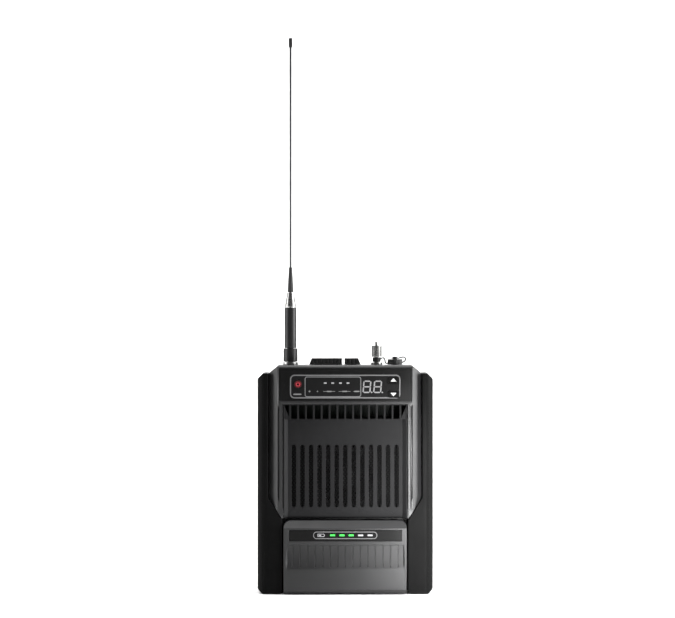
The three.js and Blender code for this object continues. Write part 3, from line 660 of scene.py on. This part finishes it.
turned("antenna_tip", SOFT_RUBBER, [
    (0, 554.9), (1.4, 554.9), (1.4, 550.6), (1.9, 550.6), (1.9, 559.2), (1.2, 560), (0, 560),
], ANTENNA, steps=40)

# ---------------------------------------------------------------- second radio socket, its cap and strap
RF_JACK = (31.9, 10)
CAP = (50.5, 10)
BARREL = {"radius": 5.6, "low": 237, "high": 248.2}
THREAD = {"low": 237.4, "pitch": 0.95, "depth": 0.5, "per_turn": 8, "rows": 89}
KNURL = {"count": 30, "depth": 0.25, "beyond": 7.2}


def thread(angle, radius, height):
    """The screw thread's change of radius at a place on the socket's barrel."""
    low, pitch = THREAD["low"], THREAD["pitch"]
    high = low + (THREAD["rows"] - 1) * pitch / THREAD["per_turn"]
    if radius < BARREL["radius"] - 0.1 or not low - 0.05 < height < high + 0.05:
        return 0
    turn = (height / pitch - angle / (2 * math.pi)) % 1
    return -THREAD["depth"] * (1 - abs(2 * turn - 1))


def knurl(angle, radius, height):
    """The change of radius of the cap's ribbed rim."""
    if radius < KNURL["beyond"]:
        return 0
    return -KNURL["depth"] * (0.5 - 0.5 * math.cos(KNURL["count"] * angle))


thread_step = THREAD["pitch"] / THREAD["per_turn"]
threaded = [(BARREL["radius"], THREAD["low"] + i * thread_step) for i in range(THREAD["rows"])]
turned("rf_jack", NICKEL, [
    (0, 221), (2.6, 221), (2.6, 229.3), (5.8, 229.3), (5.8, 231.3), (2.9, 231.3), (2.9, BARREL["low"]),
    (BARREL["radius"], BARREL["low"]), *threaded, (BARREL["radius"], BARREL["high"]), (4.1, BARREL["high"]),
    (4.1, 239.5), (0, 239.5),
], RF_JACK, reach=0.15, ridge=thread)
turned("rf_jack_insulator", NICKEL, [
    (0, 239.8), (3.7, 239.8), (3.7, 246), (1.9, 246), (1.9, 252.4), (0, 252.4),
], RF_JACK, steps=48)
turned("dust_cap", SOFT_RUBBER, [
    (0, 233.2), (5.9, 233.2), (5.9, 229.4), (7.5, 229.4), (7.5, 234.6), (2.1, 234.6), (2.1, 236.4),
    (3, 236.4), (3, 237.2), (0, 237.2),
], CAP, steps=180, ridge=knurl)
refine("cap_strap", SOFT_RUBBER, 0.05)

# ---------------------------------------------------------------- printed and lit marks
GLASS = -26.9  # front face of the display window
CAP_FACE = -27.5  # front faces of the buttons
GAUGE = -31.8  # front face of the gauge window
PRINT, SUNK = 0.05, 0.02  # a mark stands out this far, and goes this deep


def mark(name, shape, look, body="case"):
    """A mark that only the visual model has."""
    return piece(name, shape, look, body=body)


def printed(outline, front=GLASS, out=PRINT):
    """A thin plate of an (x, z) outline on a front face."""
    return prism(outline, front - out, front + SUNK, "Y")


def bar(x0, x1, z0, z1, front=GLASS):
    return printed([(x0, z0), (x1, z0), (x1, z1), (x0, z1)], front)


def pill(x, z, half_width, half_height, radius, front=GLASS, out=PRINT):
    """A plate with round corners about a centre."""
    left, right, low, high = x - half_width, x + half_width, z - half_height, z + half_height
    return printed(rounded(left, right, low, high, radius, 4), front, out)


def dot(x, z, radius):
    return disc(x, z, radius, GLASS - PRINT, GLASS + SUNK, 16)


def border(x0, x1, z0, z1, radius, width, front=GLASS):
    """A line round a rectangle with round corners."""
    outer = rounded(x0, x1, z0, z1, radius)
    inner = rounded(x0 + width, x1 - width, z0 + width, z1 - width, radius - width)
    return band(outer, inner, front - PRINT, front + SUNK)


# ---------------------------------------------------------------- buttons
POWER = {"x": -47.2, "z": 210.2, "ring": (2.2, 1.55), "gap": 70, "stroke": 0.3, "halo": (3.5, 2.75)}
CHANNEL = {"x": 48.3, "half": 2.9, "back": 1.5, "tip": 1.8}


def button(node, width):
    bm = cad_shape(node)
    ease_edges(bm, width)
    return piece(node + "_finish", bm, BUTTON, node=node)


def power_symbol():
    """A ring that is open at its top, and a bar that stands in the opening."""
    x, z, stroke = POWER["x"], POWER["z"], POWER["stroke"]
    outer, inner = POWER["ring"]
    start, end = 90 + POWER["gap"] / 2, 450 - POWER["gap"] / 2
    open_ring = arc(x, z, outer, start, end, 40) + list(reversed(arc(x, z, inner, start, end, 40)))
    upright = bar(x - stroke, x + stroke, z + 0.4, z + 2.4, CAP_FACE)
    mark("power_mark", merge(printed(open_ring, CAP_FACE), upright), RED, body="power_button")


def power_halo():
    outer, inner = (arc(POWER["x"], POWER["z"], radius, 0, 351, 39) for radius in POWER["halo"])
    shape = band(outer, inner, CAP_FACE - PRINT, CAP_FACE + SUNK)
    mark("power_halo", shape, RED_DIM, body="power_button")


def arrow(name, z, side):
    """A triangle that points up or down."""
    x, half = CHANNEL["x"], CHANNEL["half"]
    base = z - side * CHANNEL["back"]
    outline = [(x - half, base), (x + half, base), (x, z + side * CHANNEL["tip"])]
    shape = prism(outline, CAP_FACE - PRINT, CAP_FACE + PRINT, "Y")
    mark(name + "_arrow", shape, INK_WHITE, body=name + "_button")


# ---------------------------------------------------------------- display
DIGIT = {"height": 11.2, "width": 7.3, "stroke": 0.62, "slant": 0.09, "gap": 0.06}
DIGITS_AT = {"low": 202.0, "lefts": (17.6, 28.3), "points": (26.4, 37.1), "point_radius": 0.75}
STATUS_XS = (-20, -12.5, -4.7, 2.8)
LABEL_SPANS = ((-22, -10), (-6.5, 5.3), (8.3, 14.6))


def digit(x, z):
    """An eight of seven bars, leaning to the right."""
    half, gap, width, height = DIGIT["stroke"], DIGIT["gap"], DIGIT["width"], DIGIT["height"]
    near, far = 2 * half + gap, width - 2 * half - gap
    bars = []
    for level in (0, 0.5, 1):
        cz = z + height * level
        bars.append([
            (x + half + gap, cz), (x + near, cz + half), (x + far, cz + half),
            (x + width - half - gap, cz), (x + far, cz - half), (x + near, cz - half),
        ])
    for cx in (x + half * 0.4, x + width - half * 0.4):
        for level in (0, 0.5):
            low, high = z + height * level + gap, z + height * (level + 0.5) - gap
            bars.append([
                (cx, low), (cx + half, low + half), (cx + half, high - half),
                (cx, high), (cx - half, high - half), (cx - half, low + half),
            ])
    return [printed([(px + (pz - z) * DIGIT["slant"], pz) for px, pz in points]) for points in bars]


def display_digits():
    low = DIGITS_AT["low"]
    segments = [segment for left in DIGITS_AT["lefts"] for segment in digit(left, low)]
    segments += [dot(x, low, DIGITS_AT["point_radius"]) for x in DIGITS_AT["points"]]
    mark("digits", merge(*segments), DIGITS)


def status_windows():
    mark("status_windows", merge(*[pill(x, 211.3, 1.4, 0.7, 0.5) for x in STATUS_XS]), WHITE_LIGHT)


def panel_labels():
    """Plain dashes and dots where the panel has its small print."""
    labels = []
    for x0, x1 in LABEL_SPANS:
        labels.append(bar(x0, x1, 202.75, 203.2))
        labels.append(pill((x0 + x1) / 2, 202.975, 2.4, 0.625, 0.4, out=PRINT + 0.01))
    labels += [dot(x, 203, radius) for x, radius in ((-35.7, 0.9), (-27.7, 0.7))]
    labels.append(pill(-47.85, 200.1, 4.05, 0.7, 0.6))
    mark("panel_labels", merge(*labels), INK_DIM)


mark("window_border", border(-55.2, 55.2, 196.0, 219.6, 4.6, 1.1), INK_GREY)
mark("status_border", border(-40.5, 16, 197.3, 217.8, 2.5, 0.8), INK_GREY)
button("power_button", 0.35)
power_symbol()
power_halo()
button("channel_up_button", 0.4)
button("channel_down_button", 0.4)
arrow("channel_up", 214.4, 1)
arrow("channel_down", 200.0, -1)
display_digits()
status_windows()
panel_labels()

# ---------------------------------------------------------------- battery gauge
def battery_symbol():
    """A battery lying on its side, with a pointed end and a bar of charge."""
    left, right, tip, low, high, wall = -27.6, -21.3, -20.2, 57.9, 60.9, 0.5
    middle = (low + high) / 2
    outer = [(left, low), (right, low), (tip, middle), (right, high), (left, high)]
    inner = [
        (left + wall, low + wall), (right - 0.3, low + wall), (tip - 0.7, middle),
        (right - 0.3, high - wall), (left + wall, high - wall),
    ]
    case = band(outer, inner, GAUGE - PRINT, GAUGE + SUNK)
    charge = bar(-26.5, -24.0, 58.9, 59.9, GAUGE)
    mark("gauge_icon", merge(case, charge), WHITE_LIGHT, body="battery")


def gauge_bars(name, xs, look):
    mark(name, merge(*[pill(x, 59.45, 2.6, 0.85, 0.6, GAUGE) for x in xs]), look, body="battery")


mark("gauge_border", border(-32, 32, 55.8, 63.1, 3.5, 0.7, GAUGE), INK_GREY, body="battery")
battery_symbol()
gauge_bars("gauge_lit", (-12.6, -3.2, 6.0), GREEN)
# The unlit bars glow faintly white: painted light, with no lamp on behind them.
gauge_bars("gauge_unlit", (15.4, 24.9), WHITE_LIGHT)

# ---------------------------------------------------------------- scene
add_camera()
add_stage()
add_light("key", (0.125, -0.22, 0.08), (0.08, -0.03, 0.08), (0.05, 0.20), 0.40, spread=80)
add_light("right_edge", (0.50, -0.10, 0.20), (0.03, 0.0, 0.12), (0.25, 0.60), 6.5)
add_light("left_edge", (-0.60, -0.08, 0.20), (0, 0, 0.12), (0.25, 0.70), 3.0)
add_light("overhead", (0, 0.6, 2.2), (0, 0.6, 0), (3.0, 3.0), 90)
add_light("backdrop", (0, 2.2, 2.8), (0, 3.6, 0.7), (5.0, 1.2), 130)
add_world()
bpy.context.scene.view_settings.view_transform = "Standard"
